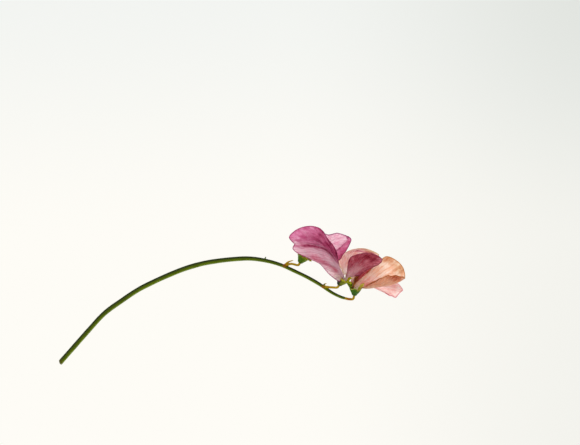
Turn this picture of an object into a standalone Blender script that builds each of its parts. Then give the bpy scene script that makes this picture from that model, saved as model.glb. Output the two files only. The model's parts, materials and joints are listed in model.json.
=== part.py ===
"""One cut stem of sweet pea with three blooms, lying on a flat surface.

Metres, +Z up. The underside of the stem and the lowest petals lie on the surface at Z 0, and the
origin is the middle of the object's box, on that surface. Lengths below are in millimetres.
"""

import math
from dataclasses import dataclass

import bmesh
import bpy
from mathutils import Vector
from mathutils.geometry import interpolate_bezier

MM = 0.001

# Driving dimensions, in millimetres.
BLADE = 0.6  # thickness of every petal and of the calyx wall
STEM_RADIUS = 1.25  # at the cut end
STEM_END_RADIUS = 0.9  # at the last flower
STALK_RADIUS = 0.58
CUP_LENGTH = 3.6  # calyx, from its base to the gaps between its teeth
CUP_RADIUS = 3.1  # calyx, at its mouth
CUP_FOOT = 0.95  # calyx, at the stalk
CLAW_RISE = 1.3  # how far a petal's claw stands out of the calyx mouth
CLAW_DEPTH = 0.9  # and how far it reaches down inside
CLAW_OFFSET = 1.3  # from the calyx's axis to each claw
SEAT_GAP = 0.3  # between a stalk's end and its calyx
PRESS = 0.6  # how softly a petal bends where it meets the surface
WELD = 0.002
CENTRE = (0.14, 0.63)  # middle of the object's box, in the coordinates of the points below

STEM_LINE = (  # X, Y and height of its centreline, from the cut end to the last flower
    (-85.5, -33.2, 1.13),
    (-78.0, -24.7, 1.12),
    (-70.5, -16.2, 1.11),
    (-63.0, -8.2, 1.10),
    (-54.5, -2.0, 1.09),
    (-46.4, 3.4, 1.08),
    (-38.4, 7.5, 1.15),
    (-30.4, 11.1, 1.35),
    (-22.4, 14.2, 1.70),
    (-14.4, 16.5, 2.20),
    (-6.4, 17.9, 2.75),
    (1.6, 18.8, 3.30),
    (9.6, 19.1, 3.90),
    (17.2, 18.1, 4.50),
    (24.6, 16.1, 5.05),
    (31.4, 13.1, 5.45),
    (38.6, 9.6, 5.70),
    (44.6, 6.1, 5.80),
    (50.4, 2.2, 5.50),
    (54.4, 0.2, 5.10),
    (57.6, -0.8, 4.70),
)


@dataclass
class Petal:
    """A petal, by points that its blade passes through, from the claw to the tip or notch.

    The midrib's last point is the tip, and the spread is the angle between it and the outermost
    veins at the claw, in degrees. Left and right are the margins of its two halves, from
    the claw round to the tip. The bulges raise the middle of each half, and a fold above 1
    makes that half leave the midrib's bow more sharply. The hold is how firmly the claw keeps
    to the calyx wall against its blade's twist.
    """

    midrib: tuple
    left: tuple
    right: tuple
    bulge_left: float = 1.0
    bulge_right: float = 1.0
    fold_left: float = 1.0
    fold_right: float = 1.0
    ripple: float = 0.3
    waves: float = 4.0
    foot: float = 0.9
    hold: float = 2.2
    spread: float = 75.0
    rows: int = 8
    half_columns: int = 9


@dataclass
class Bloom:
    """A flower: its calyx's base, the way it faces, its standard's side, its teeth and petals.

    A tooth is its lean from the axis and its sway to one side, in degrees, and its length.
    """

    base: tuple
    axis: tuple
    up: tuple
    teeth: tuple
    standard: Petal
    wing_left: Petal
    wing_right: Petal
    keel: Petal


BLOOMS = (
    Bloom(
        base=(34.3, 17.1, 5.6),
        axis=(0.52, 0.83, 0.16),
        up=(-0.1, 0.0, 1.0),
        teeth=((90, 0, 2.8), (95, 0, 3.0), (80, 0, 2.8), (95, 0, 3.0), (90, 0, 2.8)),
        standard=Petal(
            midrib=((40.0, 24.0, 11.0), (46.0, 28.0, 12.0), (52.6, 32.0, 11.1)),
            left=((33.0, 27.0, 11.0), (36.0, 31.5, 11.4), (43.0, 32.6, 12.6), (48.4, 31.2, 11.6)),
            right=((46.0, 18.8, 9.8), (52.9, 18.0, 9.2), (56.4, 21.8, 9.4), (59.2, 26.7, 10.4),
                   (59.6, 29.0, 10.2), (57.4, 30.6, 11.0)),
            bulge_right=0.3, hold=1.2, spread=50.0),
        wing_left=Petal(
            midrib=((36.4, 24.0, 4.6), (37.6, 28.0, 2.2), (38.8, 32.4, -0.4)),
            left=((33.2, 27.5, 4.4), (35.2, 31.5, 1.0)),
            right=((38.2, 24.8, 4.0), (40.2, 28.0, 1.6), (41.4, 31.0, -0.7)),
            spread=65.0, foot=0.7, rows=7, half_columns=4),
        wing_right=Petal(
            midrib=((42.0, 21.4, 6.2), (49.5, 21.0, 6.4), (55.4, 24.4, 7.6), (58.8, 30.0, 8.2)),
            left=((47.0, 22.8, 6.9), (52.2, 24.2, 7.4), (55.4, 27.0, 7.2), (57.6, 30.0, 7.7)),
            right=((43.6, 19.4, 5.0), (50.0, 17.4, 5.8), (54.6, 19.4, 6.2), (58.6, 25.4, 6.6),
                   (59.4, 28.4, 7.1)),
            bulge_left=0.5, spread=35.0, foot=0.7, rows=6, half_columns=5),
        keel=Petal(
            midrib=((40.2, 22.4, 2.8), (44.4, 24.8, 0.8), (49.0, 28.0, 0.3)),
            left=((40.2, 24.0, 4.0), (43.8, 27.0, 2.6), (47.2, 29.0, 1.8)),
            right=((42.0, 21.4, 3.8), (47.0, 23.2, 3.0), (50.0, 26.4, 1.6)),
            bulge_left=1.3, bulge_right=0.3, fold_left=0.7, fold_right=1.5, hold=0.3,
            spread=45.0, foot=0.6, ripple=0.0, rows=5, half_columns=3),
    ),
    Bloom(
        base=(53.6, 6.2, 9.4),
        axis=(0.52, 0.80, 0.24),
        up=(-0.60, 0.20, 0.80),
        teeth=((100, 0, 1.4), (75, 0, 4.4), (55, 0, 3.4), (70, 0, 3.6), (100, 0, 2.2)),
        standard=Petal(
            midrib=((54.9, 12.6, 13.8), (52.7, 17.4, 18.2), (49.6, 22.0, 19.2), (46.1, 25.0, 20.7),
                    (42.4, 25.9, 19.2), (35.8, 26.4, 16.8), (30.7, 26.5, 16.3)),
            left=((52.0, 8.9, 13.3), (48.2, 12.0, 12.0), (44.3, 16.5, 12.5), (39.0, 19.1, 13.9),
                  (34.0, 21.5, 13.4), (30.8, 24.0, 15.3)),
            right=((52.8, 17.4, 12.6), (51.8, 21.2, 14.2), (52.2, 23.2, 15.2), (50.4, 26.2, 15.2),
                   (48.0, 29.2, 15.8), (45.3, 33.2, 15.4), (43.2, 34.6, 15.5), (39.6, 35.4, 16.2),
                   (35.0, 34.6, 16.0), (31.2, 32.6, 15.6), (29.0, 29.6, 14.6)),
            bulge_right=0.3, fold_left=2.0, fold_right=3.0, ripple=0.2, spread=35.0,
            half_columns=11),
        wing_left=Petal(
            midrib=((57.6, 13.2, 10.6), (60.0, 18.4, 10.6), (66.0, 22.6, 10.4), (73.4, 21.2, 9.6)),
            left=((54.0, 17.0, 9.8), (56.4, 20.8, 9.8), (59.4, 23.2, 9.8), (65.8, 24.3, 9.8),
                  (71.2, 22.6, 9.6)),
            right=((60.4, 12.6, 10.4), (66.0, 13.8, 10.6), (72.0, 17.4, 10.2)),
            spread=35.0, foot=0.7, half_columns=7),
        wing_right=Petal(
            midrib=((60.4, 12.4, 13.4), (65.0, 15.6, 14.6), (70.6, 18.4, 13.6), (75.0, 19.0, 12.2)),
            left=((57.9, 16.4, 13.4), (59.3, 20.0, 12.9), (64.6, 21.8, 12.6), (71.4, 21.3, 12.2)),
            right=((63.8, 11.0, 12.6), (67.4, 13.8, 12.4), (72.0, 15.7, 11.8), (74.4, 17.4, 11.8)),
            spread=35.0, foot=0.7, half_columns=8),
        keel=Petal(
            midrib=((58.8, 12.4, 7.6), (61.2, 16.2, 6.2), (63.6, 20.0, 5.6)),
            left=((57.0, 13.6, 8.0), (58.6, 17.8, 7.2), (61.4, 20.6, 6.2)),
            right=((60.4, 11.8, 8.0), (63.4, 15.2, 7.2), (64.6, 18.4, 6.2)),
            spread=50.0, foot=0.6, ripple=0.0, rows=5, half_columns=3),
    ),
    Bloom(
        base=(61.4, 0.9, 4.4),
        axis=(0.15, 0.93, 0.30),
        up=(0.35, -0.2, 0.90),
        teeth=((85, 0, 2.0), (100, 0, 2.6), (60, 0, 3.0), (60, 0, 4.6), (70, 0, 4.0)),
        standard=Petal(
            midrib=((65.8, 4.7, 9.1), (74.0, 5.2, 8.0), (81.6, 6.8, 6.0), (86.5, 9.4, 5.8)),
            left=((70.6, 14.4, 10.0), (75.6, 19.6, 8.6), (78.4, 20.2, 9.0), (82.0, 18.4, 7.9),
                  (85.0, 15.6, 6.9), (86.6, 12.0, 4.2)),
            right=((70.6, 7.8, 10.0), (76.3, 10.5, 10.5), (81.4, 10.8, 8.7), (85.2, 10.2, 6.8)),
            bulge_left=0.6, spread=55.0, half_columns=10),
        wing_left=Petal(
            midrib=((62.0, 9.4, 7.8), (66.0, 13.6, 7.8), (71.0, 16.6, 5.2)),
            left=((61.6, 10.4, 5.2), (64.4, 14.6, 8.0), (68.0, 17.2, 7.0)),
            right=((64.6, 9.8, 7.0), (69.0, 12.4, 5.4), (72.0, 14.6, 6.6)),
            bulge_left=0.3, fold_left=3.0, fold_right=1.5, spread=50.0, foot=0.7, rows=7,
            half_columns=4),
        wing_right=Petal(
            midrib=((67.0, 6.4, 3.3), (74.0, 5.6, 2.5), (80.5, 3.4, 1.8), (84.2, 1.4, -1.7)),
            left=((66.8, 8.0, 6.2), (75.0, 8.4, 4.2), (82.0, 7.0, 3.6), (85.7, 3.8, 2.4)),
            right=((72.4, 4.6, -1.0), (77.0, 1.9, -1.4), (81.8, -0.5, -2.2)),
            bulge_left=0.3, bulge_right=0.3, spread=55.0, foot=0.7, rows=6, half_columns=5),
        keel=Petal(
            midrib=((63.4, 9.4, 2.6), (68.0, 13.0, 1.4), (73.4, 15.2, 0.9)),
            left=((62.4, 10.8, 4.2), (66.4, 14.6, 3.2), (71.4, 16.4, 3.6)),
            right=((65.2, 9.6, 2.2), (70.0, 12.2, 2.6), (73.8, 13.8, 3.0)),
            bulge_left=0.3, hold=0.0, spread=45.0, foot=0.6, ripple=0.0, rows=5,
            half_columns=3),
    ),
)


def clear_scene():
    for obj in list(bpy.data.objects):
        bpy.data.objects.remove(obj, do_unlink=True)


def make_collection(name):
    collection = bpy.data.collections.new(name)
    bpy.context.scene.collection.children.link(collection)
    return collection


def make_material(name, colour, roughness):
    material = bpy.data.materials.new(name)
    material.use_nodes = True
    shader = material.node_tree.nodes["Principled BSDF"]
    shader.inputs["Base Color"].default_value = (*colour, 1.0)
    shader.inputs["Roughness"].default_value = roughness
    shader.inputs["Metallic"].default_value = 0.0
    return material


def smooth_line(points, count):
    """Evenly spaced points along a smooth curve through the given points."""
    points = [Vector(p) for p in points]
    ahead = points[1:] + [points[-1]]
    behind = [points[0]] + points[:-1]
    slopes = [(after - before) / 6 for before, after in zip(behind, ahead)]
    dense = [points[0]]
    for index in range(len(points) - 1):
        start, end = points[index], points[index + 1]
        dense += interpolate_bezier(start, start + slopes[index], end - slopes[index + 1], end, 17)[1:]
    lengths = [0.0]
    for before, after in zip(dense, dense[1:]):
        lengths.append(lengths[-1] + (after - before).length)
    spaced = []
    segment = 0
    for step in range(count + 1):
        target = lengths[-1] * step / count
        while segment < len(dense) - 2 and lengths[segment + 1] < target:
            segment += 1
        span = lengths[segment + 1] - lengths[segment]
        part = min(max((target - lengths[segment]) / span, 0.0), 1.0)
        spaced.append(dense[segment].lerp(dense[segment + 1], part))
    return spaced


def pressed(height):
    """The height of a blade's middle where the surface holds it up."""
    over = height - BLADE / 2
    if over >= PRESS:
        return height
    if over <= -PRESS:
        return BLADE / 2
    return BLADE / 2 + (over + PRESS) ** 2 / (4 * PRESS)


def place(point):
    """Scene coordinates, in metres, of a point given in millimetres."""
    return Vector((point[0] - CENTRE[0], point[1] - CENTRE[1], point[2])) * MM


def bloom_frame(bloom):
    """The bloom's axis, its standard's side and the side across them, as unit vectors."""
    axis = Vector(bloom.axis).normalized()
    up = Vector(bloom.up)
    up = (up - axis * up.dot(axis)).normalized()
    return axis, up, axis.cross(up)


def middle_of(points):
    return sum((Vector(point) for point in points), Vector()) / len(points)


def claw_seat(bloom, kind):
    """Where a petal's claw stands at the calyx mouth, and the direction across the claw."""
    axis, up, across = bloom_frame(bloom)
    mouth = Vector(bloom.base) + axis * CUP_LENGTH
    if kind == "standard":
        return mouth + up * CLAW_OFFSET, across
    if kind == "keel":
        return mouth - up * CLAW_OFFSET, across
    apart = middle_of(bloom.wing_left.midrib) - middle_of(bloom.wing_right.midrib)
    side = across if (across.dot(apart) > 0) == (kind == "wing_left") else -across
    return mouth + side * CLAW_OFFSET, up


def half_blade(petal, margin, bulge, fold, seat, side, forward, midrib):
    """Rows of points over half a blade, from its outer vein to the midrib.

    The veins fan out flat from the claw's end and then bend over to the margin.
    """
    tip = midrib[-1]
    rim = smooth_line([*margin, tip], petal.half_columns)
    normal = (tip - seat).cross(middle_of(margin) - seat).normalized()
    normal = normal if normal.z >= 0 else -normal
    steps = petal.rows - 1
    rows = [[] for _ in range(steps + 1)]
    for column in range(petal.half_columns + 1):
        inward = column / petal.half_columns
        spread = math.radians(petal.spread) * (1 - inward)
        start_way = forward * math.cos(spread) + side * math.sin(spread)
        start = seat + start_way * petal.foot
        end = rim[column]
        reach = (end - start).length / 3
        vein = interpolate_bezier(start, start + start_way * reach, end.lerp(start, 0.3), end,
                                  steps + 1)
        middle_start = seat + forward * petal.foot
        middle_reach = (tip - middle_start).length / 3
        middle = interpolate_bezier(middle_start, middle_start + forward * middle_reach,
                                    tip.lerp(middle_start, 0.3), tip, steps + 1)
        for row in range(steps + 1):
            out = row / steps
            bow = (midrib[row] - middle[row]) * inward**fold
            rise = bulge * math.sin(math.pi * out) * math.sin(math.pi * inward)
            wave = petal.ripple * out**3 * math.sin(math.pi * inward) ** 0.5
            wave *= math.sin(petal.waves * math.tau * inward)
            rows[row].append(vein[row] + bow + normal * (rise + wave))
    return rows


def petal_points(bloom, kind, petal):
    """The petal's points, row by row from inside the calyx out to its margin."""
    axis = bloom_frame(bloom)[0]
    seat, across = claw_seat(bloom, kind)
    width = middle_of(petal.left) - middle_of(petal.right)
    width = (width - axis * width.dot(axis)).normalized()
    across = (across * (petal.hold if across.dot(width) > 0 else -petal.hold) + width).normalized()
    root = seat + axis * CLAW_RISE
    ahead = Vector(petal.midrib[0]) - root
    forward = (ahead - across * ahead.dot(across)).normalized()
    steps = petal.rows - 1
    midrib = smooth_line([root + forward * petal.foot, *petal.midrib], steps)
    left = half_blade(petal, petal.left, petal.bulge_left, petal.fold_left,
                      root, across, forward, midrib)
    right = half_blade(petal, petal.right, petal.bulge_right, petal.fold_right,
                       root, -across, forward, midrib)
    rows = [before + after[-2::-1] for before, after in zip(left, right)]
    last = len(rows[0]) - 1
    claw = [seat - axis * CLAW_DEPTH + across * petal.foot * (1 - 2 * column / last)
            for column in range(last + 1)]
    return [claw, *rows]


def grid_object(name, rows, material, collection, ring=False):
    """A sheet whose vertices take the given places; a ring's two ends are welded together."""
    bpy.ops.mesh.primitive_grid_add(x_subdivisions=len(rows[0]) - 1, y_subdivisions=len(rows) - 1,
                                    size=1.0)
    obj = bpy.context.active_object
    obj.name = name
    obj.data.name = name
    for owner in list(obj.users_collection):
        owner.objects.unlink(obj)
    collection.objects.link(obj)
    obj.location = place(rows[0][0])
    for vertex in obj.data.vertices:
        column = round((vertex.co.x + 0.5) * (len(rows[0]) - 1))
        row = round((vertex.co.y + 0.5) * (len(rows) - 1))
        vertex.co = place(rows[row][column]) - obj.location
    mesh = bmesh.new()
    mesh.from_mesh(obj.data)
    if ring:
        bmesh.ops.remove_doubles(mesh, verts=mesh.verts, dist=WELD * MM)
    bmesh.ops.triangulate(mesh, faces=mesh.faces)
    mesh.to_mesh(obj.data)
    mesh.free()
    obj.data.materials.append(material)
    obj.data.shade_smooth()
    shell = obj.modifiers.new("Thickness", "SOLIDIFY")
    shell.thickness = BLADE * MM
    shell.offset = 0.0
    return obj


def make_petal(name, bloom, kind, petal, material, collection):
    rows = petal_points(bloom, kind, petal)
    rows = [[Vector((p.x, p.y, pressed(p.z))) for p in row] for row in rows]
    return grid_object(name, rows, material, collection)


def make_calyx(name, bloom, material, collection):
    """A small cup on the stalk, open at the mouth, whose rim runs out into five teeth."""
    axis, up, across = bloom_frame(bloom)
    base = Vector(bloom.base)
    per_tooth = 6
    profile = ((0.0, 0.0), (CUP_FOOT, 0.06), (0.62 * CUP_RADIUS, 0.3), (0.82 * CUP_RADIUS, 0.64))
    middle_wall = 0.5 * BLADE
    rows = []
    for radius, rise in (*profile, (CUP_RADIUS - middle_wall, 1.0)):
        row = []
        for column in range(5 * per_tooth + 1):
            turn = math.tau * column / (5 * per_tooth)
            out = up * math.cos(turn) + across * math.sin(turn)
            row.append(base + axis * CUP_LENGTH * rise + out * radius)
        rows.append(row)
    mouth = rows[-1]
    for step in (1, 2, 3):
        row = []
        for column in range(5 * per_tooth + 1):
            tooth = min(column // per_tooth, 4)
            lean, sway, length = bloom.teeth[tooth]
            turn = math.tau * (tooth + 0.5) / 5
            out = up * math.cos(turn) + across * math.sin(turn)
            along = across * math.cos(turn) - up * math.sin(turn)
            reach = (1 - abs(column - per_tooth * (tooth + 0.5)) / (per_tooth / 2)) ** 0.9
            reach *= step / 3
            centre = base + axis * CUP_LENGTH + out * (CUP_RADIUS - middle_wall)
            point = mouth[column].lerp(centre, reach * 0.9)
            tilt = math.radians(lean) * (0.5 + 0.5 * reach)
            way = axis * math.cos(tilt) + out * math.sin(tilt) + along * math.tan(math.radians(sway))
            row.append(point + way * length * reach)
        rows.append(row)
    return grid_object(name, rows, material, collection, ring=True)


def tube(points, radii, name):
    """A round tube along a smooth curve, its mesh welded shut."""
    curve = bpy.data.curves.new(name, "CURVE")
    curve.dimensions = "3D"
    curve.twist_mode = "Z_UP"
    curve.bevel_depth = MM
    curve.bevel_resolution = 3
    curve.use_fill_caps = True
    spline = curve.splines.new("POLY")
    spline.points.add(len(points) - 1)
    for index, (point, knot) in enumerate(zip(points, spline.points)):
        knot.co = (*place(point), 1.0)
        part = index / (len(points) - 1) * (len(radii) - 1)
        step = min(int(part), len(radii) - 2)
        knot.radius = radii[step] + (radii[step + 1] - radii[step]) * (part - step)
    guide = bpy.data.objects.new(f"{name}_guide", curve)
    bpy.context.scene.collection.objects.link(guide)
    evaluated = guide.evaluated_get(bpy.context.evaluated_depsgraph_get())
    data = bpy.data.meshes.new_from_object(evaluated)
    obj = bpy.data.objects.new(name, data)
    obj.matrix_world = guide.matrix_world
    bpy.data.objects.remove(guide, do_unlink=True)
    mesh = bmesh.new()
    mesh.from_mesh(data)
    bmesh.ops.remove_doubles(mesh, verts=mesh.verts, dist=WELD * MM)
    mesh.to_mesh(data)
    mesh.free()
    return obj


def stalk_line(bloom, start, bend):
    """From inside the stem, past a bend, to just short of the calyx's base."""
    axis = bloom_frame(bloom)[0]
    end = Vector(bloom.base) - axis * (BLADE / 2 + SEAT_GAP)
    return smooth_line([start, bend, end - axis * 0.9, end], 12)


def make_stem(name, material, collection, guides):
    """The stem with its three flower stalks and two small bracts, in one piece."""
    end = bloom_frame(BLOOMS[2])[0]
    tip = Vector(BLOOMS[2].base) - end * (BLADE / 2 + SEAT_GAP)
    line = smooth_line([*STEM_LINE, (59.3, -1.1, 4.2), (60.9, -1.0, 3.8), tip], 84)
    radii = [STEM_RADIUS] * 5 + [STEM_RADIUS * 0.9, STEM_END_RADIUS, STEM_END_RADIUS, STALK_RADIUS]
    stem = tube(line, radii, name)
    collection.objects.link(stem)
    for vertex in stem.data.vertices:
        vertex.co.z = max(vertex.co.z, 0.0)
    pieces = (
        (stalk_line(BLOOMS[0], (26.9, 15.6, 5.2), (30.0, 16.5, 5.5)), [STALK_RADIUS] * 2),
        (stalk_line(BLOOMS[1], (46.0, 5.2, 5.8), (50.2, 4.9, 6.9)), [STALK_RADIUS] * 2),
        (smooth_line([(26.6, 15.6, 5.3), (28.6, 17.4, 6.0), (31.2, 18.3, 6.4)], 5), [0.6, 0.3]),
        (smooth_line([(46.0, 5.4, 6.0), (46.6, 6.4, 6.8), (47.6, 6.9, 7.2)], 4), [0.55, 0.3]),
        (smooth_line([(17.0, 18.2, 4.6), (17.2, 19.2, 5.2), (17.6, 20.0, 5.4)], 3), [0.5, 0.3]),
    )
    for index, (points, thickness) in enumerate(pieces):
        piece = tube(points, thickness, f"stem_branch_{index + 1}")
        guides.objects.link(piece)
        piece.hide_render = True
        piece.display_type = "WIRE"
        union = stem.modifiers.new(f"Branch {index + 1}", "BOOLEAN")
        union.operation = "UNION"
        union.object = piece
    stem.data.materials.append(material)
    stem.data.shade_smooth()
    return stem


def main():
    clear_scene()
    parts = make_collection("sweet_pea_flower")
    guides = make_collection("sweet_pea_flower_guides")
    green = make_material("stem_green", (0.10, 0.19, 0.03), 0.5)
    leafy = make_material("calyx_green", (0.20, 0.32, 0.05), 0.55)
    mauve = make_material("petal_mauve", (0.62, 0.24, 0.44), 0.6)
    peach = make_material("petal_peach", (0.80, 0.52, 0.42), 0.6)
    pale = make_material("petal_pale", (0.80, 0.55, 0.60), 0.6)
    make_stem("stem", green, parts, guides)
    for number, bloom in enumerate(BLOOMS, 1):
        make_calyx(f"bloom_{number}_calyx", bloom, leafy, parts)
        colour = peach if number == 3 else mauve
        for kind in ("standard", "wing_left", "wing_right", "keel"):
            material = pale if kind == "keel" else colour
            make_petal(f"bloom_{number}_{kind}", bloom, kind, getattr(bloom, kind), material, parts)


main()
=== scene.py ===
"""Dresses a cut stem of sweet pea, with its three blooms, where it lies on a pale lit table.

Every piece stands for one solid of the loaded model and keeps that solid's form, with finer
blades, veins, creases and colour. Lengths in the fields below are in millimetres.
"""

import json
import logging
import math
from collections.abc import Callable
from dataclasses import dataclass
from enum import Enum

import bpy
import numpy as np
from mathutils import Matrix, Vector, noise
from mathutils.geometry import interpolate_bezier

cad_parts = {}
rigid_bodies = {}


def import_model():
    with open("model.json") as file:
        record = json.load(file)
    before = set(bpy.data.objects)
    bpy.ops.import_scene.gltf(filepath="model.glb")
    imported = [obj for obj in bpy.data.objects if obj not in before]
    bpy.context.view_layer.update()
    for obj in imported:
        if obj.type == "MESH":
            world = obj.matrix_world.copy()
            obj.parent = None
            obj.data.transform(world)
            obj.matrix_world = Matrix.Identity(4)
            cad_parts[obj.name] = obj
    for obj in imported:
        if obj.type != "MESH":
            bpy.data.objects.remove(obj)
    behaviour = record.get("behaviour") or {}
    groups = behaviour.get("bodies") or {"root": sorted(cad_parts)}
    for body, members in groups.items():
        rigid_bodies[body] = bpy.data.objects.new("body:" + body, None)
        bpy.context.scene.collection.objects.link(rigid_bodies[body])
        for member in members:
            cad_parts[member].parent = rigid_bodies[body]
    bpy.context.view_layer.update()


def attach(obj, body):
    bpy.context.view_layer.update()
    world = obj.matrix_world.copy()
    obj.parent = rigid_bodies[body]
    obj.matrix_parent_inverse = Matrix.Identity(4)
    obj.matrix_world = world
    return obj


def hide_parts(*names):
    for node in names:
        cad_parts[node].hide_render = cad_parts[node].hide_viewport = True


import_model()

log = logging.getLogger("sweet_pea")

MM = 0.001

Point = tuple[float, float, float]  # millimetres
Colour = tuple[int, int, int]  # display values of 0 to 255

# The plant's own sizes, in millimetres, the same as its solids have.
CENTRE = (0.14, 0.63)  # middle of the model's box, in the coordinates of the points below
SOLID_BLADE = 0.6
STEM_RADIUS = 1.25
STEM_END_RADIUS = 0.9
STALK_RADIUS = 0.58
CUP_LENGTH = 3.6
CUP_RADIUS = 3.1
CUP_FOOT = 0.95
CLAW_RISE = 1.3
CLAW_DEPTH = 0.9
CLAW_OFFSET = 1.3
SEAT_GAP = 0.3
PRESS = 0.6

# How finely the living surface is drawn.
BLADE = 0.32  # a petal's real blade is thinner than its solid
CALYX_WALL = 0.42
FOOT_GROWTH = 1.6  # a real claw is wider than its solid, which keeps clear of the calyx
FINE_ROWS = 5  # rows drawn for each row of the solid
FINE_COLUMNS = 6
CLAW_ROWS = 6
CREASE = 0.22  # depth of the creases that run out along the veins
PUCKER = 0.2  # depth of the soft puckers across the blade
CREASE_FLOW = (22.0, 3.0)  # creases across the blade and out along it
PUCKER_PITCH = 0.34  # puckers to a millimetre
MARGIN_BAND = 1.6  # how far in from its margin a petal has its whole thickness
TOOTH_BAND = 1.5
MARGIN_SHARE = 0.45  # the wall left at the margin
CURVE_STEPS = 33  # points on each stretch of a smooth curve
STEM_VOXEL = 0.17
WELD = 0.002

STEM_LINE = (  # X, Y and height of its centreline, from the cut end to the last flower
    (-85.5, -33.2, 1.13), (-78.0, -24.7, 1.12), (-70.5, -16.2, 1.11), (-63.0, -8.2, 1.10),
    (-54.5, -2.0, 1.09), (-46.4, 3.4, 1.08), (-38.4, 7.5, 1.15), (-30.4, 11.1, 1.35),
    (-22.4, 14.2, 1.70), (-14.4, 16.5, 2.20), (-6.4, 17.9, 2.75), (1.6, 18.8, 3.30),
    (9.6, 19.1, 3.90), (17.2, 18.1, 4.50), (24.6, 16.1, 5.05), (31.4, 13.1, 5.45),
    (38.6, 9.6, 5.70), (44.6, 6.1, 5.80), (50.4, 2.2, 5.50), (54.4, 0.2, 5.10),
    (57.6, -0.8, 4.70),
)


class Kind(Enum):
    """The petals of a flower, by their place in it."""

    STANDARD = "standard"
    WING_LEFT = "wing_left"
    WING_RIGHT = "wing_right"
    KEEL = "keel"


@dataclass
class Petal:
    """A petal, by points that its blade passes through, from the claw to the tip or notch.

    The midrib's last point is the tip, and the spread is the angle between it and the outermost
    veins at the claw, in degrees. Left and right are the margins of its two halves, from
    the claw round to the tip. The bulges raise the middle of each half, and a fold above 1
    makes that half leave the midrib's bow more sharply. The hold is how firmly the claw keeps
    to the calyx wall against its blade's twist.
    """

    midrib: tuple[Point, ...]
    left: tuple[Point, ...]
    right: tuple[Point, ...]
    bulge_left: float = 1.0
    bulge_right: float = 1.0
    fold_left: float = 1.0
    fold_right: float = 1.0
    ripple: float = 0.3
    waves: float = 4.0
    foot: float = 0.9
    hold: float = 2.2
    spread: float = 75.0
    rows: int = 8
    half_columns: int = 9


@dataclass
class Bloom:
    """A flower: its calyx's base, the way it faces, its standard's side, its teeth and petals.

    A tooth is its lean from the axis and its sway to one side, in degrees, and its length.
    """

    base: Point
    axis: Point
    up: Point
    teeth: tuple[Point, ...]  # longer and curlier than the solids', which stop short of the petals
    standard: Petal
    wing_left: Petal
    wing_right: Petal
    keel: Petal


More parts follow.
